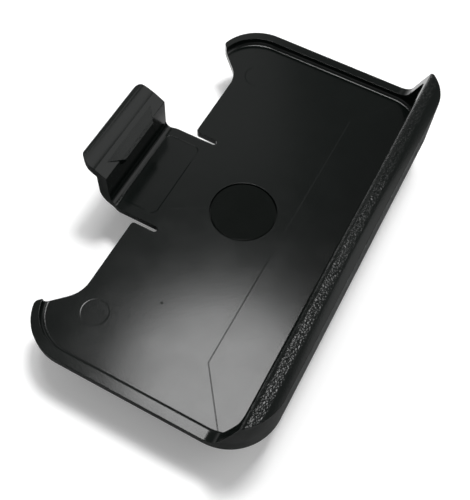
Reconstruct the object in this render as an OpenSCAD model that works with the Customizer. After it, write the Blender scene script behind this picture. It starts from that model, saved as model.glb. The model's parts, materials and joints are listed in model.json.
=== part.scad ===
// Snap-in belt holster tray for a rugged phone case, on a swivelling belt clip.
//
// The phone lies face up on the tray's floor. One long edge slides under the lip
// of the channel at +X, and the other is pressed down past the catch of the latch
// at -X. A ribbed turntable under the floor carries the belt clip, which swivels
// about Z and clicks round in steps. The clip's lever closes on the belt by a
// torsion spring. The model stands on the flat outer face of the lever, at z = 0,
// with the swivel axis on the Z axis. Millimetres.

/* [Tray] */
// Length of the tray over its two end rims
tray_len = 132.8; // [110:0.2:170]
// Distance from the swivel axis to the outer face of the channel
channel_reach = 38; // [34:0.5:50]
// Distance from the swivel axis to the outer side of the corner hooks
hook_reach = 36.3; // [33:0.1:46]
// Thickness of the tray's floor
floor_t = 2.1; // [1.8:0.1:3]
// Height of the end rims above the floor
rim_h = 2.3; // [1.5:0.1:5]
// Thickness of the end rims
rim_t = 3; // [2.4:0.1:4]
// Thickness that the rims narrow to at the corner hooks
hook_rim_t = 1.5; // [1:0.1:3]
// Plan radius of the corners beside the latch
hook_corner_r = 14.6; // [10:0.1:16]
// Plan radius of the corners beside the channel
channel_corner_r = 15; // [12:0.5:20]
// Rounding along the tray's outer lower edge
lower_edge_r = 1.6; // [0.8:0.1:1.7]
// Fillet where the floor meets the walls
floor_fillet_r = 1.2; // [0.3:0.1:1.8]

/* [Channel] */
// Height of the lip's top above the floor
lip_top_h = 16.7; // [12:0.1:24]
// Thickness of the lip
lip_t = 2.2; // [1.6:0.1:3]
// Rounding along the lip's inner edge
lip_nose_r = 1.8; // [1:0.1:2.2]
// Distance from the swivel axis to the lip's inner edge
lip_reach = 31.25; // [28:0.25:33]
// Thickness of the channel's long wall
channel_t = 2.5; // [2:0.1:4]
// Fillet under the lip, inside the channel
lip_fillet_r = 2; // [0.5:0.1:3]
// Draft of the walls inside the tray, in degrees
draft = 1.5; // [0:0.25:2]
// Lean of the two cheeks' free edges from upright, in degrees
cheek_lean = 20.5; // [10:0.5:35]
// Fillet where a cheek rises out of its rim
cheek_fillet_r = 4.5; // [1:0.5:6]

/* [Latch side] */
// Distance from the swivel axis to the floor's free edge beside the latch
floor_edge_reach = 27; // [24:0.5:30]
// Radius where the free edge curves out into a corner hook
hook_curve_r = 9.4; // [5:0.2:12]
// Radius of a corner hook's rounded end
hook_end_r = 1.8; // [1.8:0.1:2.5]
// How far round the corner a hook ends, in degrees from the latch side
hook_end_angle = 16; // [0:1:30]
// Half of the tongue's width in the floor
tongue_half = 17.2; // [14:0.1:24]
// Width of the slot on each side of the tongue
slot_w = 1.9; // [1:0.1:3]
// Distance from the swivel axis to the slots' closed ends
slot_reach = 19.1; // [17:0.1:22]
// Rounding of the floor's corner at a slot's mouth
slot_mouth_r = 1; // [0.5:0.1:2]

/* [Latch] */
// Distance from the swivel axis to the upright's inner face
upright_reach = 36.3; // [33:0.1:44]
// Thickness of the upright
upright_t = 3.3; // [2.4:0.1:4]
// How much narrower the upright is than the tongue, on each side
neck_step = 0.8; // [0.3:0.1:2]
// Length along the tongue over which it narrows
neck_len = 4; // [2:0.1:6]
// Radius of the bend inside the upright's foot
bend_r = 2.5; // [1:0.1:4]
// Height above the floor at which the head leans out
upright_h = 11.8; // [8:0.1:18]
// Slope of the head above level, in degrees
head_slope = 32.5; // [20:0.5:50]
// Length of the head's inner face, to the middle of its rounded tip
head_len = 8.4; // [6:0.1:14]
// Thickness of the head
head_t = 2.6; // [1.8:0.1:3.2]
// Half of the head's width at its tip
head_half = 16.4; // [10:0.1:20]
// Plan radius of the head's two tip corners
head_corner_r = 4.2; // [1:0.1:6]
// Depth of the thumb hollow along the head
head_hollow = 0.25; // [0.1:0.05:0.5]

/* [Catch] */
// How far the catch stands in from the upright's inner face
catch_reach = 1.2; // [0.8:0.1:2.5]
// Height of the catch's edge above the floor
catch_h = 11.8; // [10:0.1:20]
// Height of the upright lip below the catch's edge
catch_lip = 1; // [0.4:0.1:2]
// Length of the catch's lead-in face, measured level
catch_len = 4.2; // [2.5:0.1:6]
// Slope of the lead-in face above level, in degrees
catch_slope = 23; // [10:0.5:28]
// Half of the catch's width at its edge
catch_half = 7.6; // [4:0.1:10]
// Half of the catch's width at the top of its lead-in face
catch_root_half = 12.8; // [10.5:0.1:14]

/* [Swivel] */
// Radius of the pivot cap's visible disc
cap_r = 9.8; // [9.2:0.1:10.4]
// Width of the gap round the pivot cap
cap_gap = 0.4; // [0.2:0.05:0.8]
// Thickness of the pivot cap's disc
cap_t = 1.1; // [0.8:0.05:1.2]
// How far the pivot cap lies below the floor's face
cap_drop = 0.15; // [0.1:0.05:0.4]
// Depth of the dish in the pivot cap
cap_dish = 0.35; // [0.1:0.05:0.5]
// Radius of the pivot cap's stem
stem_r = 4; // [3:0.1:5]
// Length of the pivot cap's stem
stem_len = 4.4; // [3:0.1:4.6]
// Radius of the hub that turns in the tray
hub_r = 7.9; // [7:0.1:8.4]
// Running clearance round the hub, on the radius
hub_clear = 0.06; // [0.02:0.01:0.1]
// Clearance between faces that slide on each other as the clip swivels
face_clear = 0.05; // [0.02:0.01:0.1]
// Height of the thrust collar, which sets the turntable's distance from the tray
collar_h = 1.45; // [1.2:0.05:2]
// Outer radius of the thrust collar
collar_r = 10.5; // [9.5:0.1:11]
// Inner radius of the ring of click notches
ring_in_r = 11.6; // [11.3:0.1:12]
// Outer radius of the ring of click notches
ring_out_r = 15.2; // [14.5:0.1:15.3]
// Height of the ring of click notches
ring_h = 0.9; // [0.6:0.05:1]
// Number of click notches
notch_count = 24; // [12:4:36]
// Radius of each click notch
notch_r = 0.75; // [0.5:0.05:0.85]

/* [Clip base] */
// Radius of the turntable
table_r = 18.5; // [17.5:0.5:22]
// Thickness of the clip's fixed jaw
jaw_t = 2.8; // [2.4:0.1:4]
// Width of the clip's jaws
jaw_w = 24; // [22:0.5:30]
// Distance from the swivel axis to the closed end of the jaws
jaw_reach = 47; // [40:0.5:58]
// Distance from the swivel axis to the fixed jaw's short end
heel_reach = 29; // [27:0.5:33]
// Plan radius of the jaws' corners
jaw_corner_r = 5; // [2:0.5:8]
// Thickness of each click finger
finger_t = 1.3; // [0.8:0.1:1.8]
// Width of the slots round each click finger
finger_slot = 0.7; // [0.5:0.1:1]
// Half of the angle that each click finger spans
finger_half_angle = 38; // [25:1:45]
// Height of the grip ridges inside the fixed jaw
grip_ridge_h = 0.5; // [0.3:0.1:0.8]
// Spacing of the grip ridges inside the fixed jaw
grip_ridge_pitch = 3.5; // [2.5:0.5:5]
// Number of grip ridges inside the fixed jaw
grip_ridge_count = 6; // [3:1:8]

/* [Clip lever] */
// Gap for the belt between the jaws
belt_gap = 6; // [5.6:0.1:9]
// Thickness of the lever
lever_t = 3.2; // [2.6:0.1:4]
// Distance from the swivel axis to the thumb pad's end
thumb_reach = 37; // [35:0.5:42]
// Slope of the thumb pad, in degrees
thumb_slope = 7; // [4:0.5:10]
// Thickness of the hooked end
hook_t = 2.8; // [2:0.1:4]
// Gap left between the closed hook and the fixed jaw
hook_clear = 0.4; // [0.3:0.1:1]
// Height of the thumb ridges
thumb_ridge_h = 0.5; // [0.3:0.1:0.8]
// Spacing of the thumb ridges
thumb_ridge_pitch = 2.6; // [2:0.1:3.2]
// Number of thumb ridges
thumb_ridge_count = 4; // [2:1:5]

/* [Hinge] */
// Distance from the swivel axis to the hinge pin
hinge_reach = 20; // [19.5:0.5:23]
// Radius of the hinge pin
pin_r = 1.25; // [1:0.05:1.5]
// Running clearance round the pin in the lever, on the radius
pin_clear = 0.05; // [0.02:0.01:0.1]
// How much tighter than the pin the ears' holes are, on the radius
pin_press = 0.01; // [0:0.005:0.02]
// Gap between a knuckle and the jaw that it faces
knuckle_clear = 0.3; // [0.3:0.05:0.6]
// Width of each ear and each lever knuckle
knuckle_w = 3; // [2:0.1:3.4]
// Side gap between an ear and its knuckle
side_clear = 0.3; // [0.2:0.05:0.5]
// Wire radius of the torsion spring
wire_r = 0.4; // [0.3:0.05:0.45]
// Number of turns of the torsion spring
spring_turns = 5; // [3:1:6]
// Gap between the turns of the torsion spring
turn_gap = 0.3; // [0.1:0.05:0.4]
// Length of each leg of the torsion spring
leg_len = 6; // [4:0.5:7]

/* [Hidden] */
$fn = 96;

// Far enough to clear the whole part
far = 200;
// Overlap that joins two bodies of one moulding without a coincident face
weld = 0.2;

tray_black = [0.14, 0.15, 0.15];
cap_black = [0.11, 0.12, 0.12];
clip_black = [0.17, 0.18, 0.18];
steel_grey = [0.66, 0.67, 0.69];

// Heights of the stack, from the floor that the clip lies on
jaw_z = lever_t + belt_gap;
table_z = jaw_z + jaw_t;
under_z = table_z + collar_h + face_clear;
floor_z = under_z + floor_t;
cap_z = floor_z - cap_drop - cap_t;
hinge_z = lever_t + belt_gap / 2;
knuckle_r = belt_gap / 2 - knuckle_clear;
// Height of the lever's inner face above its flat stretch, where the spring's leg presses
leg_lift = max(0, leg_len - knuckle_r) * tan(thumb_slope);

// Click nub at each finger's free end: it just clears the crests between the notches
nub_r = notch_r - face_clear;
nub_clear = 2 * face_clear;
nub_angle = 6 - finger_half_angle;
// Radius of the half-round ridges
ridge_r = 0.8;

tray_half = tray_len / 2;
// Middle of a corner hook's rounded end, which touches the round corner from inside
hook_dir = [-cos(hook_end_angle), sin(hook_end_angle)];
hook_end = [hook_corner_r - hook_reach, tray_half - hook_corner_r] + (hook_corner_r - hook_end_r) * hook_dir;
// Middle of the curve that joins the straight free edge to a run-out at 45 degrees, which ends in the hook
edge_arc_x = -floor_edge_reach - hook_curve_r;
edge_arc_y = hook_end.y + hook_end.x - edge_arc_x - sqrt(2) * (hook_curve_r + hook_end_r);

// Quarter disc that rounds a section's outer edge, below its middle (side -1) or above it (side 1)
module edge_quarter(centre, r, side) {
  translate(centre) intersection() {
    circle(r);
    translate([0, side < 0 ? -r : 0]) square(r);
  }
}

// A wall's section, from the plan centre out to w, with its outer edges rounded and its top spread outwards
module wall_section(w, z0, z1, low_r, top_r, spread = 0) {
  low = low_r > 0 ? [[w - low_r, z0], [w, z0 + low_r]] : [[w, z0]];
  top = top_r > 0 ? [[w + spread, z1 - top_r], [w + spread - top_r, z1]] : [[w + spread, z1]];
  polygon([[0, z0], each low, each top, [0, z1]]);
  if (low_r > 0) edge_quarter([w - low_r, z0 + low_r], low_r, -1);
  if (top_r > 0) edge_quarter([w + spread - top_r, z1 - top_r], top_r, 1);
}

// A block with round plan corners of one radius at -X and another at +X, and rounded outer edges
module round_block(x0, x1, half, corner0, corner1, z0, z1, low_r = 0, top_r = 0, spread = 0) {
  run_x = x1 - corner1 - x0 - corner0;
  for (side = [0, 1]) mirror([0, side, 0]) {
    translate([x1 - corner1, half - corner1, 0])
      rotate_extrude(angle = 90) wall_section(corner1, z0, z1, low_r, top_r, spread);
    translate([x0 + corner0, half - corner0, 0])
      rotate([0, 0, 90]) rotate_extrude(angle = 90) wall_section(corner0, z0, z1, low_r, top_r, spread);
    translate([x0 + corner0, half - corner1, 0])
      rotate([90, 0, 90]) linear_extrude(run_x) wall_section(corner1, z0, z1, low_r, top_r, spread);
    translate([x1 - corner1, 0, 0])
      along_y(half - corner1) wall_section(corner1, z0, z1, low_r, top_r, spread);
    translate([x0 + corner0, 0, 0])
      mirror([1, 0, 0]) along_y(half - corner0) wall_section(corner0, z0, z1, low_r, top_r, spread);
  }
  translate([x0 + corner0, -(half - corner1), z0])
    cube([run_x, 2 * (half - corner1), z1 - z0]);
}

// Extrudes a profile drawn in X and Z from y = 0 to y = length
module along_y(length) {
  translate([0, length, 0]) rotate([90, 0, 0]) linear_extrude(length) children();
}

// Extrudes a profile drawn in X and Z evenly to both sides of y = 0
module across_y(width) {
  translate([0, width / 2, 0]) rotate([90, 0, 0]) linear_extrude(width) children();
}

// Extrudes a profile drawn in Y and Z evenly to both sides of x = 0
module across_x(width) {
  translate([-width / 2, 0, 0]) rotate([90, 0, 90]) linear_extrude(width) children();
}

// Ring sector in plan, between two radii and two angles less than half a turn apart
module ring_sector(r0, r1, a0, a1) {
  mid = (a0 + a1) / 2;
  intersection() {
    difference() {
      circle(r1);
      circle(r0);
    }
    polygon([[0, 0], for (a = [a0, mid, a1]) 3 * r1 * [cos(a), sin(a)]]);
  }
}

// TRAY, drawn with the floor's upper face at z = 0

// Side view of everything that stays of the tray's block: floor, rims, cheeks and lip
module tray_side_view() {
  nose = [lip_reach + lip_nose_r, lip_top_h - lip_nose_r];
  edge_top = nose + lip_nose_r * [-cos(cheek_lean), sin(cheek_lean)];
  foot = [edge_top.x - (edge_top.y - rim_h) * tan(cheek_lean), rim_h];
  open_angle = 90 + cheek_lean;
  fillet_dist = cheek_fillet_r / sin(open_angle / 2);
  fillet_dir = 180 - open_angle / 2;
  fillet = foot + fillet_dist * [cos(fillet_dir), sin(fillet_dir)];
  fillet_top = fillet + cheek_fillet_r * [cos(cheek_lean), -sin(cheek_lean)];
  translate([-far / 2, -floor_t]) square([far, floor_t + rim_h]);
  polygon([foot, edge_top, nose, [nose.x, lip_top_h], [far / 2, lip_top_h], [far / 2, rim_h]]);
  translate(nose) circle(lip_nose_r);
  difference() {
    polygon([foot, [fillet.x, rim_h], fillet, fillet_top]);
    translate(fillet) circle(cheek_fillet_r);
  }
}

// Plan of what is cut away beside the latch, between the two corner hooks
module latch_side_cut() {
  arc = [edge_arc_x, edge_arc_y];
  arc_end = arc + hook_curve_r * [cos(45), sin(45)];
  run_end = hook_end - hook_end_r * [cos(45), sin(45)];
  side = [[-floor_edge_reach, arc.y], arc_end, run_end, hook_end, hook_end + far * hook_dir];
  polygon([
    for (p = side) p,
    for (i = [len(side) - 1:-1:0]) [side[i].x, -side[i].y]
  ]);
  for (side_y = [-1, 1]) translate([arc.x, side_y * arc.y]) circle(hook_curve_r);
}

// Plan of one slot beside the tongue, with its rounded mouth
module tongue_slot() {
  round_r = slot_w / 2;
  mouth = [-floor_edge_reach, tongue_half + slot_w];
  translate([-far / 2, tongue_half]) square([far / 2 - slot_reach - round_r, slot_w]);
  translate([-slot_reach - round_r, tongue_half + round_r]) circle(round_r);
  difference() {
    translate(mouth + [-slot_mouth_r, -slot_mouth_r]) square(2 * slot_mouth_r);
    translate(mouth + [slot_mouth_r, slot_mouth_r]) circle(slot_mouth_r);
  }
}

// Side view of the latch: tongue, bend, upright and head
module latch_side_view() {
  outer_r = bend_r + upright_t;
  bend_x = -upright_reach + bend_r;
  outer_x = -upright_reach - upright_t;
  along = [-cos(head_slope), sin(head_slope)];
  out = [sin(head_slope), cos(head_slope)];
  shoulder = [-upright_reach, upright_h];
  tip = shoulder + head_len * along - head_t / 2 * out;
  head_under = shoulder - head_t * out;
  knee = [outer_x, head_under.y + (outer_x - head_under.x) * along.y / along.x];
  hollow_half = head_len / 4;
  hollow_r = (hollow_half * hollow_half + head_hollow * head_hollow) / (2 * head_hollow);
  hollow = shoulder + (head_len - hollow_half) * along + (hollow_r - head_hollow) * out;
  translate([bend_x, -floor_t]) square([-floor_edge_reach + weld - bend_x, floor_t]);
  difference() {
    intersection() {
      union() {
        translate([bend_x, outer_r - floor_t]) circle(outer_r);
        translate([outer_x, outer_r - floor_t]) square([upright_t + bend_r, knee.y - outer_r + floor_t]);
      }
      translate([outer_x, -floor_t]) square([bend_x - outer_x, knee.y + floor_t]);
    }
    translate([bend_x, bend_r]) circle(bend_r);
    translate([-upright_reach, bend_r]) square([far, far]);
  }
  difference() {
    union() {
      polygon([shoulder, shoulder + head_len * along, shoulder + head_len * along - head_t * out, knee,
               [outer_x, knee.y - weld], [-upright_reach, knee.y - weld]]);
      translate(tip) circle(head_t / 2);
    }
    translate(hollow) circle(hollow_r);
  }
}

// Plan of the latch: straight tongue, neck drawn in by two equal curves, and head with round tip corners
module latch_plan() {
  outer_x = -upright_reach - upright_t;
  tip_x = -upright_reach - (head_len * cos(head_slope) + head_t / 2 * (1 + sin(head_slope)));
  arc_x = tip_x + head_corner_r;
  upright_half = tongue_half - neck_step;
  neck_r = (neck_len * neck_len + neck_step * neck_step) / (4 * neck_step);
  neck_x = -upright_reach + neck_len;
  side = [[-floor_edge_reach + weld, tongue_half], [neck_x, tongue_half],
          [neck_x - neck_len / 2, tongue_half - neck_step / 2], [-upright_reach, upright_half],
          [outer_x, head_half], [arc_x, head_half]];
  difference() {
    union() {
      polygon([
        for (p = side) p,
        for (i = [len(side) - 1:-1:0]) [side[i].x, -side[i].y]
      ]);
      for (side_y = [-1, 1]) translate([neck_x, side_y * (tongue_half - neck_r)]) circle(neck_r);
    }
    for (side_y = [-1, 1]) intersection() {
      translate([-upright_reach, side_y * (upright_half + neck_r)]) circle(neck_r);
      translate([-upright_reach, -far / 2]) square([neck_len, far]);
    }
  }
  for (side_y = [-1, 1]) translate([arc_x, side_y * (head_half - head_corner_r)]) circle(head_corner_r);
  translate([tip_x, -(head_half - head_corner_r)]) square([head_corner_r, 2 * (head_half - head_corner_r)]);
}

// Side view and plan of the catch that holds the phone down
module catch_side_view() {
  edge = [-upright_reach + catch_reach, catch_h];
  top = [edge.x - catch_len, catch_h + catch_len * tan(catch_slope)];
  root = [-upright_reach - upright_t / 2, upright_h - upright_t];
  foot = [-upright_reach - weld, catch_h - catch_lip - catch_reach];
  polygon([edge, top, root, foot, [edge.x, catch_h - catch_lip]]);
}

module catch_plan() {
  edge_x = -upright_reach + catch_reach;
  polygon([[edge_x, -catch_half], [edge_x, catch_half],
           [edge_x - catch_len, catch_root_half], [edge_x - catch_len, -catch_root_half]]);
}

module latch() {
  intersection() {
    across_y(far) latch_side_view();
    translate([0, 0, -far / 2]) linear_extrude(far) latch_plan();
  }
  intersection() {
    across_y(2 * catch_root_half) catch_side_view();
    translate([0, 0, -far / 2]) linear_extrude(far) catch_plan();
  }
}

// Ring of click notches under the floor, which the clip's fingers ride on
module click_ring() {
  difference() {
    translate([0, 0, -floor_t - ring_h]) linear_extrude(ring_h + weld) difference() {
      circle(ring_out_r);
      circle(ring_in_r);
    }
    for (i = [0:notch_count - 1]) rotate([0, 0, nub_angle + i * 360 / notch_count])
      translate([ring_in_r - weld, 0, -floor_t - ring_h]) rotate([0, 90, 0])
        cylinder(h = ring_out_r - ring_in_r + 2 * weld, r = notch_r, $fn = 24);
  }
}

// The tray's outer form, not yet hollowed, with the two corner hooks rounded at their ends
module tray_block() {
  difference() {
    intersection() {
      round_block(-hook_reach, channel_reach, tray_half, hook_corner_r, channel_corner_r,
                  -floor_t, lip_top_h, low_r = lower_edge_r);
      across_y(far) tray_side_view();
    }
    translate([0, 0, -far / 2]) linear_extrude(far) latch_side_cut();
  }
  for (side = [0, 1]) mirror([0, side, 0])
    translate([hook_end.x, hook_end.y, 0])
      rotate_extrude() wall_section(hook_end_r, -floor_t, rim_h, lower_edge_r, 0);
}

module tray() {
  pocket_h = lip_top_h - lip_t;
  color(tray_black) translate([0, 0, floor_z]) {
    difference() {
      union() {
        difference() {
          tray_block();
          round_block(hook_rim_t - hook_reach, channel_reach - channel_t, tray_half - rim_t,
                      hook_corner_r - hook_rim_t, channel_corner_r - channel_t, 0, pocket_h,
                      low_r = floor_fillet_r, top_r = lip_fillet_r, spread = pocket_h * tan(draft));
          translate([0, 0, -far / 2]) linear_extrude(far) for (side = [0, 1]) mirror([0, side]) tongue_slot();
        }
        latch();
        click_ring();
      }
      translate([0, 0, -far / 2]) cylinder(h = far, r = hub_r + hub_clear);
      translate([0, 0, -cap_drop - cap_t - face_clear]) cylinder(h = far, r = cap_r + cap_gap);
    }
  }
}

// SWIVEL AND CLIP, drawn in place

// Disc in the tray's floor, dished on top, with the stem that holds it in the hub
module pivot_cap() {
  dish_r = (cap_r * cap_r + cap_dish * cap_dish) / (2 * cap_dish);
  color(cap_black) translate([0, 0, cap_z]) rotate_extrude() difference() {
    union() {
      square([cap_r, cap_t]);
      translate([0, -stem_len]) square([stem_r, stem_len]);
    }
    translate([0, cap_t - cap_dish + dish_r]) circle(dish_r, $fn = 256);
    translate([-far, -far / 2]) square([far, far]);
  }
}

// Plan of a jaw, from its closed end at y0 to its other end at y1, with round corners
module jaw_plan(y0, y1) {
  half = jaw_w / 2;
  translate([-half, y0 + jaw_corner_r]) square([jaw_w, y1 - y0 - 2 * jaw_corner_r]);
  translate([-half + jaw_corner_r, y0]) square([jaw_w - 2 * jaw_corner_r, y1 - y0]);
  for (side = [-1, 1], y = [y0 + jaw_corner_r, y1 - jaw_corner_r])
    translate([side * (half - jaw_corner_r), y]) circle(jaw_corner_r);
}

// Side view of a round knuckle on the hinge axis, carried by a jaw at height z
module knuckle_side_view(z) {
  low = min(z, hinge_z);
  translate([hinge_reach, hinge_z]) circle(knuckle_r);
  translate([hinge_reach - knuckle_r, low]) square([2 * knuckle_r, abs(z - hinge_z)]);
}

// Places its children on both sides of the hinge, from x = inner outwards
module hinge_pair(inner) {
  for (side = [0, 1]) mirror([side, 0, 0])
    translate([inner, 0, 0]) rotate([90, 0, 90]) linear_extrude(knuckle_w) children();
}

// Slots that free one click finger from the turntable, and what thins the finger
module finger_cut() {
  tip_gap = finger_slot / ring_in_r * 180 / PI;
  translate([0, 0, -far / 2]) linear_extrude(far) difference() {
    ring_sector(ring_in_r - finger_slot, ring_out_r + finger_slot, -finger_half_angle, finger_half_angle);
    ring_sector(ring_in_r, ring_out_r, tip_gap - finger_half_angle, 1 + finger_half_angle);
  }
  translate([0, 0, jaw_z - weld]) linear_extrude(jaw_t - finger_t + weld)
    ring_sector(ring_in_r, ring_out_r, tip_gap / 2 - finger_half_angle, finger_half_angle - tip_gap);
}

// Fixed jaw: turntable, hub, click fingers, hinge ears and grip ridges
module clip_base() {
  nub_top = under_z - ring_h - nub_clear;
  color(clip_black) {
    difference() {
      union() {
        translate([0, 0, jaw_z]) linear_extrude(jaw_t) {
          circle(table_r);
          jaw_plan(-jaw_reach, heel_reach);
        }
        translate([0, 0, table_z - weld]) cylinder(h = collar_h + weld, r = collar_r);
        translate([0, 0, table_z - weld]) cylinder(h = cap_z - table_z + weld, r = hub_r);
        hinge_pair(jaw_w / 2 - knuckle_w) knuckle_side_view(jaw_z + weld);
      }
      translate([0, 0, cap_z - stem_len - face_clear]) cylinder(h = far, r = stem_r + face_clear);
      for (turn = [0, 180]) rotate([0, 0, turn]) finger_cut();
      translate([-far / 2, hinge_reach, hinge_z]) rotate([0, 90, 0]) cylinder(h = far, r = pin_r - pin_press);
    }
    for (turn = [0, 180]) rotate([0, 0, turn + nub_angle])
      translate([ring_in_r + weld, 0, nub_top - nub_r]) rotate([0, 90, 0])
        cylinder(h = ring_out_r - ring_in_r - 2 * weld, r = nub_r);
    for (i = [0:grip_ridge_count - 1])
      translate([0, -jaw_reach + hook_t + (i + 1) * grip_ridge_pitch, jaw_z + ridge_r - grip_ridge_h])
        rotate([0, 90, 0]) cylinder(h = jaw_w - 2 * jaw_corner_r, r = ridge_r, center = true);
  }
}

// Side view of the lever: flat outer face, hooked closed end and raised thumb pad
module lever_side_view() {
  pad_y = hinge_reach + knuckle_r;
  pad_len = (thumb_reach - pad_y) / cos(thumb_slope) - lever_t / 2;
  hook_top = jaw_z - hook_clear;
  edge_r = hook_t / 2;
  translate([-jaw_reach + edge_r, 0]) square([pad_y + jaw_reach - edge_r, lever_t]);
  translate([-jaw_reach + edge_r, edge_r]) circle(edge_r);
  translate([-jaw_reach, edge_r]) square([hook_t, hook_top - 2 * edge_r]);
  translate([-jaw_reach + edge_r, hook_top - edge_r]) circle(edge_r);
  translate([pad_y, 0]) rotate(thumb_slope) {
    translate([-weld, 0]) square([pad_len + weld, lever_t]);
    translate([pad_len, lever_t / 2]) circle(lever_t / 2);
  }
}

// Moving jaw, which the part rests on
module clip_lever() {
  pad_y = hinge_reach + knuckle_r;
  color(clip_black) {
    intersection() {
      across_x(jaw_w) lever_side_view();
      linear_extrude(far) jaw_plan(-jaw_reach, thumb_reach);
    }
    difference() {
      hinge_pair(jaw_w / 2 - 2 * knuckle_w - side_clear) knuckle_side_view(lever_t - weld);
      translate([-far / 2, hinge_reach, hinge_z]) rotate([0, 90, 0]) cylinder(h = far, r = pin_r + pin_clear);
    }
    translate([0, pad_y, 0]) rotate([thumb_slope, 0, 0])
      for (i = [0:thumb_ridge_count - 1])
        translate([0, thumb_reach - pad_y - lever_t / 2 - i * thumb_ridge_pitch, ridge_r - thumb_ridge_h])
          rotate([0, 90, 0]) cylinder(h = jaw_w - 2 * jaw_corner_r, r = ridge_r, center = true);
  }
}

// Steel pin with lightly chamfered ends, a little short of the ears' outer faces
module hinge_pin() {
  half = jaw_w / 2 - knuckle_clear;
  chamfer = pin_r / 5;
  color(steel_grey) translate([0, hinge_reach, hinge_z]) rotate([0, 90, 0]) rotate_extrude()
    polygon([[0, -half], [pin_r - chamfer, -half], [pin_r, chamfer - half],
             [pin_r, half - chamfer], [pin_r - chamfer, half], [0, half]]);
}

// Torsion spring wound round the pin: one leg presses on each jaw, towards the thumb pad
module lever_spring() {
  sides = 8;
  steps = 20;
  coil_r = pin_r + wire_r + 2 * pin_clear + weld;
  pitch = 2 * wire_r + turn_gap;
  half = pitch * (spring_turns + 0.5) / 2;
  count = steps * (spring_turns + 0.5);
  base_leg = [half, leg_len, belt_gap / 2 - wire_r - pin_clear];
  lever_leg = [-half, leg_len, leg_lift - belt_gap / 2 + wire_r + pin_clear];
  coil_angles = [for (i = [0:count]) -90 - 360 * i / steps];
  angles = [coil_angles[0], for (a = coil_angles) a, coil_angles[count]];
  path = [
    lever_leg,
    for (i = [0:count]) [-half + pitch * i / steps, coil_r * cos(coil_angles[i]), coil_r * sin(coil_angles[i])],
    base_leg
  ];
  rings = len(path);
  points = [
    for (j = [0:rings - 1], k = [0:sides - 1]) let (a = 360 * k / sides)
      path[j] + wire_r * [sin(a), cos(a) * cos(angles[j]), cos(a) * sin(angles[j])]
  ];
  walls = [
    for (j = [0:rings - 2], k = [0:sides - 1]) let (n = (k + 1) % sides, a = j * sides, b = a + sides)
      for (face = [[a + k, b + k, b + n], [a + k, b + n, a + n]]) face
  ];
  first_end = [for (k = [0:sides - 1]) k];
  last_end = [for (k = [sides - 1:-1:0]) (rings - 1) * sides + k];
  color(steel_grey) translate([0, hinge_reach, hinge_z]) polyhedron(points, concat([first_end], walls, [last_end]));
}

tray();
pivot_cap();
clip_base();
clip_lever();
hinge_pin();
lever_spring();
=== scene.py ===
"""Dresses the snap-in phone holster on its swivelling belt clip, and lights it as in the photograph.

Lengths are in metres unless their name ends in _mm. The frame is the CAD's own: +Z is up out of
the open tray, +X is towards the channel and +Y towards the clip's thumb pad.
"""
import json
import logging
import math
from dataclasses import dataclass, field
from enum import Enum

import bpy
from bpy.types import Material, Mesh, Node, NodeSocket, NodeTree, Object
from mathutils import Matrix, Vector


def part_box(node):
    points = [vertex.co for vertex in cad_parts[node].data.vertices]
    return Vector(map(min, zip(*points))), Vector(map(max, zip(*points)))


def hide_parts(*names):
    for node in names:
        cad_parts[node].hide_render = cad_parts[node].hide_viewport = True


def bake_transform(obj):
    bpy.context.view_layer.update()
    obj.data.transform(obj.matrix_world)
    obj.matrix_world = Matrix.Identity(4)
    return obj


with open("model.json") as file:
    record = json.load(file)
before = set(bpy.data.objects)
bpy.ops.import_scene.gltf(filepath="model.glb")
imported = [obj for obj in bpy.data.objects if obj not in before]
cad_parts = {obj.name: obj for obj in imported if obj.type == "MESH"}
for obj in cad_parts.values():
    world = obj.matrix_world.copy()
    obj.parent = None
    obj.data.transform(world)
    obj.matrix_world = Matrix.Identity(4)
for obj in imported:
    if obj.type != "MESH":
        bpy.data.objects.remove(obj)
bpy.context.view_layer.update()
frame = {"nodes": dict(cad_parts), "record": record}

LOG = logging.getLogger("holster")
MM = 0.001
WHITE = (1.0, 1.0, 1.0, 1.0)

# Nearly all of a noise texture's values lie between these two
NOISE_LOW, NOISE_HIGH = 0.3, 0.7
# Numbers of the Mix node's inputs and output, for colours and for vectors
COLOUR_A, COLOUR_B, COLOUR_OUT = 6, 7, 2
VECTOR_A, VECTOR_B, VECTOR_OUT = 4, 5, 1


class Part(Enum):
    """CAD nodes of the holster."""

    TRAY = "tray"
    PIVOT_CAP = "pivot_cap"
    CLIP_BASE = "clip_base"
    CLIP_LEVER = "clip_lever"
    HINGE_PIN = "hinge_pin"
    LEVER_SPRING = "lever_spring"


def recorded(rows: list[dict], name: str) -> Vector:
    """Finds where the record puts one of its mounts or joints.

    Args:
        rows: The record's mounts or joints.
        name: The name of the one to find.

    Returns:
        Its place in millimetres.
    """
    return Vector(next(row for row in rows if row["name"] == name)["pos_m"]) / MM


FLOOR_Z_MM = recorded(frame["record"]["mounts"], "phone_seat").z
HINGE_MM = recorded(frame["record"]["behaviour"]["joints"], "lever_hinge")
LIP_Z_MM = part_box(Part.TRAY.value)[1].z / MM


def linear(hex_colour: str) -> tuple[float, float, float, float]:
    """Turns an sRGB hex colour into a linear one with full alpha.

    Args:
        hex_colour: A colour such as "#1a1d1c".

    Returns:
        Red, green, blue and alpha, from 0 to 1, as a shader takes them.
    """
    parts = [int(hex_colour[i : i + 2], 16) / 255 for i in (1, 3, 5)]
    red, green, blue = (c / 12.92 if c <= 0.04045 else ((c + 0.055) / 1.055) ** 2.4 for c in parts)
    return red, green, blue, 1.0


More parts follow.
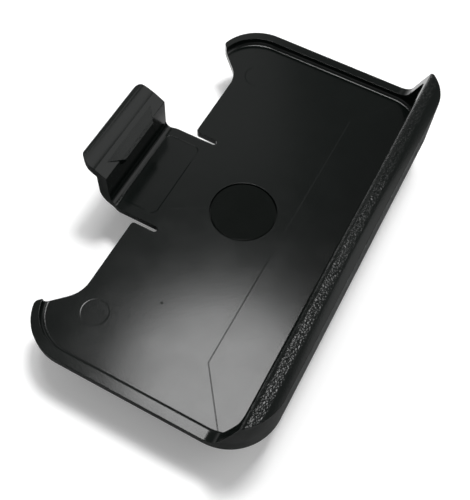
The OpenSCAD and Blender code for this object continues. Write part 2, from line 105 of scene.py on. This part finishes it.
def add(tree: NodeTree, kind: str, inputs: dict | None = None, **settings: object) -> Node:
    """Adds one shader node to a tree, sets it up and links it.

    Args:
        tree: The tree that the node goes in.
        kind: Blender's name of the node's kind, without its ShaderNode.
        inputs: A value, or an output to link, for each input by its name or number.
        settings: The node's own properties, such as its operation.

    Returns:
        The new node.
    """
    node = tree.nodes.new("ShaderNode" + kind)
    for name, value in settings.items():
        setattr(node, name, value)
    for key, value in (inputs or {}).items():
        if isinstance(value, NodeSocket):
            tree.links.new(value, node.inputs[key])
        else:
            node.inputs[key].default_value = value
    return node


def empty_tree(holder: Material | bpy.types.World) -> NodeTree:
    """Gives a material or a world a node tree with nothing in it.

    Args:
        holder: The material or the world.

    Returns:
        Its empty tree.
    """
    holder.use_nodes = True
    holder.node_tree.nodes.clear()
    return holder.node_tree


@dataclass(frozen=True)
class MouldedPlastic:
    """Black ABS from a steel mould.

    Its skin gives the eye a satin gloss: soft reflections, a little uneven where the part was
    handled, over a colour that is nearly black.
    """

    name: str
    colour: str
    roughness: float
    # Spacing and depth of the mould's fine texture; the real one is finer, this shows at 0.3 mm a pixel
    skin_pitch_mm: float = 0.5
    skin_depth_mm: float = 0.009
    # Spacing and depth of the long waves left where thick walls shrank
    sink_pitch_mm: float = 24.0
    sink_depth_mm: float = 0.012
    # Patches that were rubbed: how many in a millimetre, and how far they shift the roughness
    rub_per_mm: float = 0.11
    rub_share: float = 0.1
    # Clouds in the pigment: how many in a millimetre, and how much lighter the lightest is
    cloud_per_mm: float = 0.35
    cloud_lift: float = 1.35
    # Radius that the eye sees on a moulded edge
    edge_radius_mm: float = 0.25
    edge_samples: int = 6
    # ABS itself is at 1.54; the mould's texture takes some of the mirror away
    ior: float = 1.40

    def relief(self, tree: NodeTree, place: NodeSocket) -> NodeSocket:
        """Builds the surface's height.

        Args:
            tree: The material's tree.
            place: The point on the surface, in millimetres in the CAD's frame.

        Returns:
            The height in millimetres.
        """
        skin = add(tree, "TexNoise", {"Vector": place, "Scale": 1 / self.skin_pitch_mm, "Detail": 2.0})
        sink = add(tree, "TexNoise", {"Vector": place, "Scale": 1 / self.sink_pitch_mm, "Detail": 0.0})
        waves = add(tree, "Math", {0: sink.outputs[0], 1: self.sink_depth_mm}, operation="MULTIPLY")
        height = add(tree, "Math", {0: skin.outputs[0], 1: self.skin_depth_mm, 2: waves.outputs[0]},
                     operation="MULTIPLY_ADD")
        return height.outputs[0]

    def gloss(self, tree: NodeTree, place: NodeSocket) -> NodeSocket:
        """Builds the roughness: the skin's own, uneven where hands and the phone rubbed it.

        Args:
            tree: The material's tree.
            place: The point on the surface, in millimetres in the CAD's frame.

        Returns:
            The roughness, from 0 to 1.
        """
        rubbed = add(tree, "TexNoise", {"Vector": place, "Scale": self.rub_per_mm, "Detail": 3.0,
                                        "Roughness": 0.6})
        rough = add(tree, "MapRange", {"Value": rubbed.outputs[0],
                                       "From Min": NOISE_LOW, "From Max": NOISE_HIGH,
                                       "To Min": self.roughness * (1 - self.rub_share),
                                       "To Max": self.roughness * (1 + self.rub_share)})
        return rough.outputs[0]

    def tone(self, tree: NodeTree, place: NodeSocket) -> NodeSocket:
        """Builds the colour, with the faint cloudiness of pigment in a moulding.

        Args:
            tree: The material's tree.
            place: The point on the surface, in millimetres in the CAD's frame.

        Returns:
            The base colour.
        """
        cloud = add(tree, "TexNoise", {"Vector": place, "Scale": self.cloud_per_mm, "Detail": 4.0,
                                       "Roughness": 0.65})
        dark = linear(self.colour)
        light = tuple(min(1.0, c * self.cloud_lift) for c in dark[:3]) + (1.0,)
        mix = add(tree, "Mix", {0: cloud.outputs[0], COLOUR_A: dark, COLOUR_B: light}, data_type="RGBA")
        return mix.outputs[COLOUR_OUT]

    def facing(self, tree: NodeTree) -> NodeSocket:
        """Builds the way the surface faces, with its edges rounded as the mould leaves them.

        Args:
            tree: The material's tree.

        Returns:
            The surface's normal.
        """
        return add(tree, "Bevel", {"Radius": self.edge_radius_mm * MM}, samples=self.edge_samples).outputs[0]

    def material(self) -> Material:
        """Builds the material from its relief, gloss and tone.

        Returns:
            The new material.
        """
        made = bpy.data.materials.new(self.name)
        tree = empty_tree(made)
        coords = add(tree, "TexCoord")
        place = add(tree, "VectorMath", {0: coords.outputs["Object"], "Scale": 1 / MM},
                    operation="SCALE").outputs[0]
        bump = add(tree, "Bump", {"Height": self.relief(tree, place), "Distance": MM, "Strength": 1.0,
                                  "Normal": self.facing(tree)})
        shader = add(tree, "BsdfPrincipled", {
            "Base Color": self.tone(tree, place), "Roughness": self.gloss(tree, place), "IOR": self.ior,
            "Normal": bump.outputs[0],
        })
        add(tree, "OutputMaterial", {"Surface": shader.outputs[0]})
        return made


@dataclass(frozen=True)
class Spot:
    """A point on the tray's surface, as sockets in millimetres."""

    place: NodeSocket
    x: NodeSocket
    z: NodeSocket
    # How far the point is to either side of the latch's middle, because the tray is the same on both
    side_y: NodeSocket
    # The point in plan, and the same with side_y in place of y
    level: NodeSocket
    folded: NodeSocket

    @classmethod
    def at(cls, tree: NodeTree, place: NodeSocket) -> "Spot":
        """Takes a point apart.

        Args:
            tree: The material's tree.
            place: The point on the surface, in millimetres in the CAD's frame.

        Returns:
            The point's parts.
        """
        x, y, z = add(tree, "SeparateXYZ", {0: place}).outputs
        side_y = add(tree, "Math", {0: y}, operation="ABSOLUTE").outputs[0]
        level = add(tree, "CombineXYZ", {0: x, 1: y, 2: 0.0}).outputs[0]
        folded = add(tree, "CombineXYZ", {0: x, 1: side_y, 2: 0.0}).outputs[0]
        return cls(place, x, z, side_y, level, folded)


@dataclass(frozen=True)
class TrayPlastic(MouldedPlastic):
    """The tray's ABS, with the marks of its mould and the leather grain on its lip.

    The floor came off a polished core, so it mirrors the lamp softly. Ejector pins left two round
    marks, a joint in the core left a fine line that turns to both ends, and the lip's top has an
    etched leather grain that breaks the lamp into specks.
    """

    # How far from the floor's height its marks still reach
    floor_reach_mm: float = 0.04
    # Round ejector marks: the middle of one, its radius, half the width of its edge, and its depth
    pin_mark_mm: tuple[float, float] = (-20.6, 49.05)
    pin_mark_r_mm: float = 4.0
    pin_mark_edge_mm: float = 0.15
    pin_mark_depth_mm: float = 0.03
    # Joint of the core: where it runs straight, where it turns, the level direction square to its
    # slanting ends, the distances from its middle over which it rises, and its depth
    joint_x_mm: float = 14.06
    joint_turn_y_mm: float = 46.9
    joint_slant: tuple[float, float] = (0.8036, -0.5954)
    joint_edge_mm: tuple[float, float] = (0.03, 0.19)
    joint_depth_mm: float = 0.026
    # Pip where a speck stuck to the core: its place, the radii of its top and foot, and its height
    pip_mm: tuple[float, float] = (-5.8, -37.7)
    pip_r_mm: tuple[float, float] = (0.1, 0.4)
    pip_height_mm: float = 0.12
    # Scratches that the phone left, each from one point of the floor to another
    scratches_mm: tuple[tuple[float, float, float, float], ...] = (
        (-20.8, -10.6, -9.3, -3.85), (2.1, -19.8, 2.3, -24.0), (20.0, -36.0, 23.5, -33.0),
        (21.0, -44.5, 23.0, -42.6), (-12.0, 21.0, -3.0, 27.5),
    )
    scratch_half_mm: float = 0.12
    scratch_depth_mm: float = 0.0035
    # Shallow panel on the latch's tongue: its sides in X, half of its width, the radius of its corners,
    # the width of its edge, its depth, and the middle and half of the heights above the floor that it
    # reaches, which keep it off the underside
    panel_x_mm: tuple[float, float] = (-34.6, -22.4)
    panel_half_mm: float = 14.0
    panel_corner_mm: float = 2.0
    panel_edge_mm: float = 0.35
    panel_depth_mm: float = 0.12
    panel_z_mm: tuple[float, float] = (1.3, 1.6)
    # Dull skin of the catch's lead-in: the middle and half of its spread in X and in Z, its spacing
    # and its depth
    catch_x_mm: tuple[float, float] = (-33.6, 2.4)
    catch_z_mm: tuple[float, float] = (26.0, 3.6)
    catch_pitch_mm: float = 0.45
    catch_depth_mm: float = 0.05
    # Leather grain of the lip: its spacing, unevenness and depth, where across the lip it comes in and
    # goes out, and the depths below the lip's top over which it fades
    grain_pitch_mm: float = 0.46
    grain_unevenness: float = 0.9
    grain_depth_mm: float = 0.14
    grain_x_mm: tuple[float, float, float, float] = (30.8, 31.3, 34.4, 36.0)
    grain_fade_mm: tuple[float, float] = (1.0, 0.4)
    # The lip's top is crowned: it falls away from here, by this much for each square millimetre
    crown_x_mm: float = 32.0
    crown_fall: float = 0.022

    def relief(self, tree: NodeTree, place: NodeSocket) -> NodeSocket:
        """Adds the mould's marks and the lip's grain to the plain skin.

        Args:
            tree: The material's tree.
            place: The point on the surface, in millimetres in the CAD's frame.

        Returns:
            The height in millimetres.
        """
        spot = Spot.at(tree, place)
        panel_middle, panel_reach = self.panel_z_mm
        on_floor = add(tree, "Math", {0: spot.z, 1: FLOOR_Z_MM, 2: self.floor_reach_mm}, operation="COMPARE")
        near_floor = add(tree, "Math", {0: spot.z, 1: FLOOR_Z_MM + panel_middle, 2: panel_reach},
                         operation="COMPARE")
        (catch_x, reach_x), (catch_z, reach_z) = self.catch_x_mm, self.catch_z_mm
        in_x = add(tree, "Math", {0: spot.x, 1: catch_x, 2: reach_x}, operation="COMPARE")
        in_z = add(tree, "Math", {0: spot.z, 1: catch_z, 2: reach_z}, operation="COMPARE")
        on_catch = add(tree, "Math", {0: in_x.outputs[0], 1: in_z.outputs[0]}, operation="MULTIPLY")
        on_lip = add(tree, "MapRange", {"Value": spot.z, "From Min": LIP_Z_MM - self.grain_fade_mm[0],
                                        "From Max": LIP_Z_MM - self.grain_fade_mm[1]})
        height = super().relief(tree, place)
        for mark, where in (
            (self.ejector_marks, on_floor), (self.core_joint, on_floor), (self.pip, on_floor),
            (self.scratches, on_floor), (self.latch_panel, near_floor), (self.catch_skin, on_catch),
            (self.lip_grain, on_lip), (self.lip_crown, on_lip),
        ):
            height = add(tree, "Math", {0: mark(tree, spot), 1: where.outputs[0], 2: height},
                         operation="MULTIPLY_ADD").outputs[0]
        return height

    def ejector_marks(self, tree: NodeTree, spot: Spot) -> NodeSocket:
        """Sinks the two round marks of the ejector pins.

        Args:
            tree: The material's tree.
            spot: The point on the surface.

        Returns:
            The height in millimetres.
        """
        out = add(tree, "VectorMath", {0: spot.folded, 1: (*self.pin_mark_mm, 0.0)}, operation="DISTANCE")
        return add(tree, "MapRange", {"Value": out.outputs["Value"],
                                      "From Min": self.pin_mark_r_mm - self.pin_mark_edge_mm,
                                      "From Max": self.pin_mark_r_mm + self.pin_mark_edge_mm,
                                      "To Min": -self.pin_mark_depth_mm, "To Max": 0.0},
                   interpolation_type="SMOOTHSTEP").outputs[0]

    def core_joint(self, tree: NodeTree, spot: Spot) -> NodeSocket:
        """Cuts the fine line of the core's joint: straight along the floor, then slanting out to each end.

        Args:
            tree: The material's tree.
            spot: The point on the surface.

        Returns:
            The height in millimetres.
        """
        beside = add(tree, "Math", {0: spot.x, 1: self.joint_x_mm}, operation="SUBTRACT").outputs[0]
        beyond = add(tree, "Math", {0: spot.side_y, 1: self.joint_turn_y_mm}, operation="SUBTRACT")
        slid = add(tree, "Math", {0: beyond.outputs[0], 1: self.joint_slant[1]}, operation="MULTIPLY")
        slant = add(tree, "Math", {0: beside, 1: self.joint_slant[0], 2: slid.outputs[0]},
                    operation="MULTIPLY_ADD")
        across = add(tree, "Math", {0: beside, 1: slant.outputs[0]}, operation="MINIMUM").outputs[0]
        apart = add(tree, "Math", {0: across}, operation="ABSOLUTE").outputs[0]
        return add(tree, "MapRange", {"Value": apart, "From Min": self.joint_edge_mm[0],
                                      "From Max": self.joint_edge_mm[1],
                                      "To Min": -self.joint_depth_mm, "To Max": 0.0},
                   interpolation_type="SMOOTHSTEP").outputs[0]

    def pip(self, tree: NodeTree, spot: Spot) -> NodeSocket:
        """Raises the pip on the floor.

        Args:
            tree: The material's tree.
            spot: The point on the surface.

        Returns:
            The height in millimetres.
        """
        away = add(tree, "VectorMath", {0: spot.place, 1: (*self.pip_mm, FLOOR_Z_MM)}, operation="DISTANCE")
        return add(tree, "MapRange", {"Value": away.outputs["Value"], "From Min": self.pip_r_mm[0],
                                      "From Max": self.pip_r_mm[1],
                                      "To Min": self.pip_height_mm, "To Max": 0.0},
                   interpolation_type="SMOOTHSTEP").outputs[0]

    def scratches(self, tree: NodeTree, spot: Spot) -> NodeSocket:
        """Cuts the scratches, by the distance to the nearest one.

        Args:
            tree: The material's tree.
            spot: The point on the surface.

        Returns:
            The height in millimetres.
        """
        nearest: NodeSocket | float = math.inf
        for x0, y0, x1, y1 in self.scratches_mm:
            start, along = Vector((x0, y0, 0.0)), Vector((x1 - x0, y1 - y0, 0.0))
            gauge = along / along.length_squared
            gone = add(tree, "VectorMath", {0: spot.level, 1: start}, operation="SUBTRACT").outputs[0]
            share = add(tree, "VectorMath", {0: gone, 1: gauge}, operation="DOT_PRODUCT")
            share = add(tree, "Clamp", {0: share.outputs["Value"]}).outputs[0]
            foot = add(tree, "VectorMath", {0: along, "Scale": share}, operation="SCALE").outputs[0]
            off = add(tree, "VectorMath", {0: gone, 1: foot}, operation="DISTANCE").outputs["Value"]
            if nearest == math.inf:
                nearest = off
            else:
                nearest = add(tree, "Math", {0: off, 1: nearest}, operation="MINIMUM").outputs[0]
        return add(tree, "MapRange", {"Value": nearest, "From Min": 0.0, "From Max": self.scratch_half_mm,
                                      "To Min": -self.scratch_depth_mm, "To Max": 0.0},
                   interpolation_type="SMOOTHSTEP").outputs[0]

    def latch_panel(self, tree: NodeTree, spot: Spot) -> NodeSocket:
        """Sinks the shallow panel with round corners into the latch's tongue.

        Args:
            tree: The material's tree.
            spot: The point on the surface.

        Returns:
            The height in millimetres.
        """
        left, right = self.panel_x_mm
        middle = ((left + right) / 2, 0.0, 0.0)
        half = ((right - left) / 2 - self.panel_corner_mm, self.panel_half_mm - self.panel_corner_mm, 0.0)
        past = add(tree, "VectorMath", {0: spot.folded, 1: middle}, operation="SUBTRACT").outputs[0]
        past = add(tree, "VectorMath", {0: past}, operation="ABSOLUTE").outputs[0]
        past = add(tree, "VectorMath", {0: past, 1: half}, operation="SUBTRACT").outputs[0]
        past = add(tree, "VectorMath", {0: past, 1: (0.0, 0.0, 0.0)}, operation="MAXIMUM").outputs[0]
        out = add(tree, "VectorMath", {0: past}, operation="LENGTH").outputs["Value"]
        return add(tree, "MapRange", {"Value": out, "From Min": self.panel_corner_mm - self.panel_edge_mm,
                                      "From Max": self.panel_corner_mm,
                                      "To Min": -self.panel_depth_mm, "To Max": 0.0},
                   interpolation_type="SMOOTHSTEP").outputs[0]

    def catch_skin(self, tree: NodeTree, spot: Spot) -> NodeSocket:
        """Roughens the catch's lead-in, which kept the dull skin of its insert.

        Args:
            tree: The material's tree.
            spot: The point on the surface.

        Returns:
            The height in millimetres.
        """
        dull = add(tree, "TexNoise", {"Vector": spot.place, "Scale": 1 / self.catch_pitch_mm, "Detail": 1.0})
        return add(tree, "Math", {0: dull.outputs[0], 1: self.catch_depth_mm},
                   operation="MULTIPLY").outputs[0]

    def lip_grain(self, tree: NodeTree, spot: Spot) -> NodeSocket:
        """Etches the leather grain: round pebbles with creases between them.

        Args:
            tree: The material's tree.
            spot: The point on the surface.

        Returns:
            The height in millimetres.
        """
        cells = add(tree, "TexVoronoi", {"Vector": spot.place, "Scale": 1 / self.grain_pitch_mm,
                                         "Randomness": self.grain_unevenness}, feature="SMOOTH_F1")
        comes, whole, goes, gone = self.grain_x_mm
        start = add(tree, "MapRange", {"Value": spot.x, "From Min": comes, "From Max": whole},
                    interpolation_type="SMOOTHSTEP").outputs[0]
        end = add(tree, "MapRange", {"Value": spot.x, "From Min": goes, "From Max": gone,
                                     "To Min": 1.0, "To Max": 0.0},
                  interpolation_type="SMOOTHSTEP").outputs[0]
        band = add(tree, "Math", {0: start, 1: end}, operation="MULTIPLY").outputs[0]
        depth = add(tree, "Math", {0: band, 1: -self.grain_depth_mm}, operation="MULTIPLY").outputs[0]
        return add(tree, "Math", {0: cells.outputs["Distance"], 1: depth}, operation="MULTIPLY").outputs[0]

    def lip_crown(self, tree: NodeTree, spot: Spot) -> NodeSocket:
        """Lets the lip's top fall away towards the channel's outer face.

        Args:
            tree: The material's tree.
            spot: The point on the surface.

        Returns:
            The height in millimetres.
        """
        past = add(tree, "Math", {0: spot.x, 1: self.crown_x_mm}, operation="SUBTRACT").outputs[0]
        past = add(tree, "Math", {0: past, 1: 0.0}, operation="MAXIMUM").outputs[0]
        square = add(tree, "Math", {0: past, 1: past}, operation="MULTIPLY").outputs[0]
        return add(tree, "Math", {0: square, 1: -self.crown_fall}, operation="MULTIPLY").outputs[0]


@dataclass(frozen=True)
class CapPlastic(MouldedPlastic):
    """The swivel cap's ABS, whose dish is so shallow that it mirrors one even, dark patch of ceiling."""

    # How far the dish is flattened where it looks up, between these two cosines
    flatness: float = 0.75
    dish_up: tuple[float, float] = (0.95, 0.99)

    def facing(self, tree: NodeTree) -> NodeSocket:
        """Builds the rounded normal, with the shallow dish nearly flat.

        Args:
            tree: The material's tree.

        Returns:
            The surface's normal.
        """
        rounded = super().facing(tree)
        up = add(tree, "SeparateXYZ", {0: rounded}).outputs[2]
        share = add(tree, "MapRange", {"Value": up, "From Min": self.dish_up[0], "From Max": self.dish_up[1],
                                       "To Max": self.flatness}).outputs[0]
        mix = add(tree, "Mix", {0: share, VECTOR_A: rounded, VECTOR_B: (0.0, 0.0, 1.0)}, data_type="VECTOR")
        return add(tree, "VectorMath", {0: mix.outputs[VECTOR_OUT]}, operation="NORMALIZE").outputs[0]


@dataclass(frozen=True)
class BrightSteel:
    """Drawn spring steel, which gives the eye a bright wire with fine marks along its draw."""

    name: str = "drawn_steel"
    colour: str = "#b9bbbd"
    roughness: float = 0.28
    # Least and most of the roughness, as shares of it
    spread: tuple[float, float] = (0.8, 1.25)
    # Draw marks: how many in a metre along X and across it, and their height
    marks_per_m: tuple[float, float, float] = (400.0, 9000.0, 9000.0)
    mark_height_mm: float = 0.003

    def material(self) -> Material:
        """Builds the material.

        Returns:
            The new material.
        """
        made = bpy.data.materials.new(self.name)
        tree = empty_tree(made)
        coords = add(tree, "TexCoord")
        drawn = add(tree, "Mapping", {"Vector": coords.outputs["Object"], "Scale": self.marks_per_m})
        lines = add(tree, "TexNoise", {"Vector": drawn.outputs[0], "Scale": 1.0, "Detail": 2.0})
        rough = add(tree, "MapRange", {"Value": lines.outputs[0], "To Min": self.roughness * self.spread[0],
                                       "To Max": self.roughness * self.spread[1]})
        bump = add(tree, "Bump", {"Height": lines.outputs[0], "Distance": self.mark_height_mm * MM,
                                  "Strength": 1.0})
        shader = add(tree, "BsdfPrincipled", {"Base Color": linear(self.colour), "Metallic": 1.0,
                                              "Roughness": rough.outputs[0], "Normal": bump.outputs[0]})
        add(tree, "OutputMaterial", {"Surface": shader.outputs[0]})
        return made


def dress(part: Part, material: Material) -> Object:
    """Gives a CAD node its finish.

    Args:
        part: The node.
        material: What it is made of.

    Returns:
        The node's object.
    """
    piece = frame["nodes"][part.value]
    piece.data.materials.clear()
    piece.data.materials.append(material)
    return piece


@dataclass
class Holster:
    """The tray that holds the phone, and the cap of its swivel.

    The tray's outer walls came from the mould's etched half, so they are dull where its floor is glossy.
    """

    # Polished: a soft but clear mirror of the lamp over black
    tray_finish: TrayPlastic = field(default_factory=lambda: TrayPlastic(
        name="tray_abs_polished_floor", colour="#0c110f", roughness=0.17))
    # Etched: dull walls that scatter nearly all of their mirror away, which the low IOR stands for
    wall_finish: MouldedPlastic = field(default_factory=lambda: MouldedPlastic(
        name="tray_abs_etched_walls", colour="#0d100f", roughness=0.72, ior=1.16, skin_depth_mm=0.01))
    # Polished too, and the deepest black of all, because it mirrors only the dark ceiling
    cap_finish: CapPlastic = field(default_factory=lambda: CapPlastic(
        name="cap_abs_satin", colour="#070c09", roughness=0.13, ior=1.32))
    # A face is an outer wall if it looks up less than this, and away from the swivel more than this,
    # both as cosines
    wall_most_up: float = 0.6
    wall_least_out: float = 0.3

    def build(self) -> list[Object]:
        """Dresses the tray and the pivot cap.

        Returns:
            The two pieces.
        """
        tray = dress(Part.TRAY, self.tray_finish.material())
        self.dress_walls(tray)
        return [tray, dress(Part.PIVOT_CAP, self.cap_finish.material())]

    def dress_walls(self, tray: Object) -> None:
        """Gives the tray's outer walls their own finish.

        Args:
            tray: The tray, with its first finish.
        """
        tray.data.materials.append(self.wall_finish.material())
        for face in tray.data.polygons:
            out = face.normal.xy.dot(face.center.xy.normalized())
            face.material_index = int(face.normal.z < self.wall_most_up and out > self.wall_least_out)


@dataclass(frozen=True)
class TorsionSpring:
    """The wire spring round the hinge pin: a leg lies on each jaw, and the coil between them twists."""

    wire_r_mm: float = 0.4
    coil_r_mm: float = 1.95
    pitch_mm: float = 1.1
    turns: float = 5.5
    # Length of both legs, and the height of each leg's end above the pin's axis
    leg_mm: float = 6.0
    base_leg_z_mm: float = 2.55
    lever_leg_z_mm: float = -2.1448
    steps_a_turn: int = 48
    sides: int = 16

    @property
    def half_mm(self) -> float:
        """Half of the coil's length, between the middles of the wire's ends."""
        return self.turns * self.pitch_mm / 2

    def centreline(self) -> list[tuple[Vector, float]]:
        """Lays out the wire's middle line, from the lever's leg round the coil to the base's leg.

        Returns:
            Points in millimetres from the coil's middle, each with its angle round the pin.
        """
        coil = []
        for step in range(round(self.steps_a_turn * self.turns) + 1):
            turned = step / self.steps_a_turn
            angle = -math.pi / 2 - math.tau * turned
            coil.append((Vector((turned * self.pitch_mm - self.half_mm, self.coil_r_mm * math.cos(angle),
                                 self.coil_r_mm * math.sin(angle))), angle))
        lever_leg = Vector((-self.half_mm, self.leg_mm, self.lever_leg_z_mm))
        base_leg = Vector((self.half_mm, self.leg_mm, self.base_leg_z_mm))
        return [(lever_leg, coil[0][1]), *coil, (base_leg, coil[-1][1])]

    def wire(self) -> Mesh:
        """Builds the wire round its middle line, with flat ends.

        Returns:
            The mesh, in metres in the CAD's frame.
        """
        line = self.centreline()
        points = []
        for middle, angle in line:
            for side in range(self.sides):
                turn = math.tau * side / self.sides
                rise = math.cos(turn)
                out = Vector((math.sin(turn), rise * math.cos(angle), rise * math.sin(angle)))
                points.append((HINGE_MM + middle + self.wire_r_mm * out) * MM)
        faces = [tuple(reversed(range(self.sides)))]
        for first in range(0, len(points) - self.sides, self.sides):
            for side in range(self.sides):
                a, b = first + side, first + (side + 1) % self.sides
                faces.append((a, b, b + self.sides, a + self.sides))
        faces.append(tuple(range(len(points) - self.sides, len(points))))
        mesh = bpy.data.meshes.new("twisting_spring")
        mesh.from_pydata(points, [], faces)
        for face in mesh.polygons:
            face.use_smooth = len(face.vertices) < self.sides
        return mesh

    def build(self, steel: Material) -> Object:
        """Winds the wire in place of the CAD's own spring, which it hides.

        Args:
            steel: The wire's finish.

        Returns:
            The spring's object.
        """
        mesh = self.wire()
        mesh.materials.append(steel)
        spring = bpy.data.objects.new("twisting_spring", mesh)
        bpy.context.scene.collection.objects.link(spring)
        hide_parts(Part.LEVER_SPRING.value)
        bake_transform(spring)
        return spring


@dataclass
class BeltClip:
    """The swivelling clip behind the tray: two jaws, their pin and their spring."""

    # Finely textured: an even, soft sheen, a little paler than the tray
    jaw_finish: MouldedPlastic = field(default_factory=lambda: MouldedPlastic(
        name="clip_abs_fine_texture", colour="#1a1d1d", roughness=0.38, skin_depth_mm=0.006))
    steel: BrightSteel = field(default_factory=BrightSteel)
    spring: TorsionSpring = field(default_factory=TorsionSpring)

    def build(self) -> list[Object]:
        """Dresses the clip's pieces and winds its spring.

        Returns:
            The clip's four pieces.
        """
        plastic = self.jaw_finish.material()
        steel = self.steel.material()
        return [dress(Part.CLIP_BASE, plastic), dress(Part.CLIP_LEVER, plastic),
                dress(Part.HINGE_PIN, steel), self.spring.build(steel)]


@dataclass(frozen=True)
class SoftBox:
    """A round or square soft lamp, aimed at the tray."""

    name: str
    place: tuple[float, float, float]
    aim: tuple[float, float, float]
    size: float
    watts: float
    round: bool = True

    def build(self) -> Object:
        """Puts the lamp in the scene.

        Returns:
            The lamp's object.
        """
        data = bpy.data.lights.new(self.name, "AREA")
        data.shape = "DISK" if self.round else "SQUARE"
        data.size = self.size
        data.energy = self.watts
        lamp = bpy.data.objects.new(self.name, data)
        bpy.context.scene.collection.objects.link(lamp)
        lamp.location = self.place
        lamp.rotation_euler = (Vector(self.aim) - Vector(self.place)).to_track_quat("-Z", "Y").to_euler()
        return lamp


@dataclass
class Studio:
    """White table, soft lamps and the photograph's camera."""

    # Half of the table's side, and how far it lies below the lever, so that the two faces don't fight
    table_half: float = 3.0
    table_drop: float = 0.0001
    # Dim ceiling and paler walls, as the camera and mirrors see them, the plain light from them, and
    # the height, as a sine, at which the walls have turned into the ceiling
    ceiling: float = 0.19
    walls: float = 0.8
    ambient: float = 0.35
    ceiling_from: float = 0.4
    # How much white the camera sees over the table's own light, so that only the deep shadow is left
    table_glow: float = 0.12
    lamps: tuple[SoftBox, ...] = (
        SoftBox("key_lamp", (-0.132, 0.247, 1.016), (0.0, -0.02, 0.016), 0.31, 2.8),
        SoftBox("right_lamp", (0.75, 0.65, 1.0), (0.0, 0.0, 0.0), 0.8, 2.4, round=False),
        SoftBox("left_lamp", (-0.62, 0.8, 1.0), (0.0, 0.0, 0.0), 0.6, 0.45, round=False),
    )
    # Lights the table alone, and lays the shadow in front of the near rim
    table_lamp: SoftBox = SoftBox("table_lamp", (0.05, 0.29, 1.0), (0.0, 0.0, 0.0), 0.2, 5.8)
    # The camera solved from the photograph: where it is, which way its right and its top point, and its lens
    camera_place: tuple[float, float, float] = (0.050097, -0.112114, 0.211012)
    camera_right: tuple[float, float, float] = (0.88206712, 0.47010969, 0.03089474)
    camera_up: tuple[float, float, float] = (-0.42389536, 0.76331733, 0.48750321)
    lens_mm: float = 55.487
    sensor_mm: float = 36.0
    nearest_seen: float = 0.01

    def build(self) -> None:
        """Builds the table, the surround, the lamps and the camera."""
        table = self.build_table()
        self.build_surround()
        for lamp in self.lamps:
            lamp.build()
        lit = bpy.data.collections.new("lit_table")
        lit.objects.link(table)
        self.table_lamp.build().light_linking.receiver_collection = lit
        self.build_camera()

    def build_table(self) -> Object:
        """Builds the white table that the holster lies on, and keeps the holster's shadow on it.

        Returns:
            The table's object.
        """
        half, low = self.table_half, -self.table_drop
        corners = [(-half, -half, low), (half, -half, low), (half, half, low), (-half, half, low)]
        mesh = bpy.data.meshes.new("table")
        mesh.from_pydata(corners, [], [(0, 1, 2, 3)])
        table = bpy.data.objects.new("table", mesh)
        bpy.context.scene.collection.objects.link(table)
        made = bpy.data.materials.new("white_card")
        tree = empty_tree(made)
        card = add(tree, "BsdfDiffuse", {"Color": linear("#fafafa")})
        glow = add(tree, "Emission", {"Color": WHITE, "Strength": self.seen(tree, 0.0, self.table_glow)})
        both = add(tree, "AddShader", {0: card.outputs[0], 1: glow.outputs[0]})
        add(tree, "OutputMaterial", {"Surface": both.outputs[0]})
        mesh.materials.append(made)
        return table

    @staticmethod
    def seen(tree: NodeTree, unseen: float, seen: float) -> NodeSocket:
        """Gives one value to what the camera, a mirror or a glass sees, and another to the rest.

        Args:
            tree: The material's or the world's tree.
            unseen: The value for light that falls on rough surfaces.
            seen: The value for rays from the camera, in reflections and through glass.

        Returns:
            The value for the ray at hand.
        """
        ray = add(tree, "LightPath")
        any_of = add(tree, "Math", {0: ray.outputs["Is Camera Ray"], 1: ray.outputs["Is Glossy Ray"]},
                     operation="MAXIMUM")
        any_of = add(tree, "Math", {0: any_of.outputs[0], 1: ray.outputs["Is Transmission Ray"]},
                     operation="MAXIMUM")
        share = add(tree, "MapRange", {"Value": any_of.outputs[0], "To Min": unseen, "To Max": seen})
        return share.outputs[0]

    def build_surround(self) -> None:
        """Builds the world: a dim ceiling over paler walls, and plain light from both."""
        world = bpy.data.worlds.new("studio")
        bpy.context.scene.world = world
        tree = empty_tree(world)
        way = add(tree, "TexCoord")
        rise = add(tree, "SeparateXYZ", {0: way.outputs["Generated"]})
        light = add(tree, "MapRange", {"Value": rise.outputs[2],
                                       "From Min": 0.0, "From Max": self.ceiling_from,
                                       "To Min": self.seen(tree, self.ambient, self.walls),
                                       "To Max": self.seen(tree, self.ambient, self.ceiling)},
                    interpolation_type="SMOOTHSTEP")
        glow = add(tree, "Background", {"Color": WHITE, "Strength": light.outputs[0]})
        add(tree, "OutputWorld", {"Surface": glow.outputs[0]})

    def build_camera(self) -> None:
        """Builds the camera from the place and turn solved from the photograph."""
        data = bpy.data.cameras.new("photograph")
        data.lens = self.lens_mm
        data.sensor_width = self.sensor_mm
        data.clip_start = self.nearest_seen
        camera = bpy.data.objects.new("photograph", data)
        bpy.context.scene.collection.objects.link(camera)
        right, up = Vector(self.camera_right), Vector(self.camera_up)
        turn = Matrix((right, up, right.cross(up))).transposed().to_4x4()
        camera.matrix_world = Matrix.Translation(self.camera_place) @ turn
        bpy.context.scene.camera = camera


def main() -> None:
    """Builds the holster, its clip and the studio, and logs each piece's finishes."""
    logging.basicConfig(level=logging.INFO, format="%(name)s: %(message)s")
    for piece in Holster().build() + BeltClip().build():
        LOG.info("%s: %s", piece.name, ", ".join(material.name for material in piece.data.materials))
    Studio().build()
    bpy.context.scene.view_settings.view_transform = "Standard"
    bpy.context.view_layer.update()


if __name__ == "__main__":
    main()
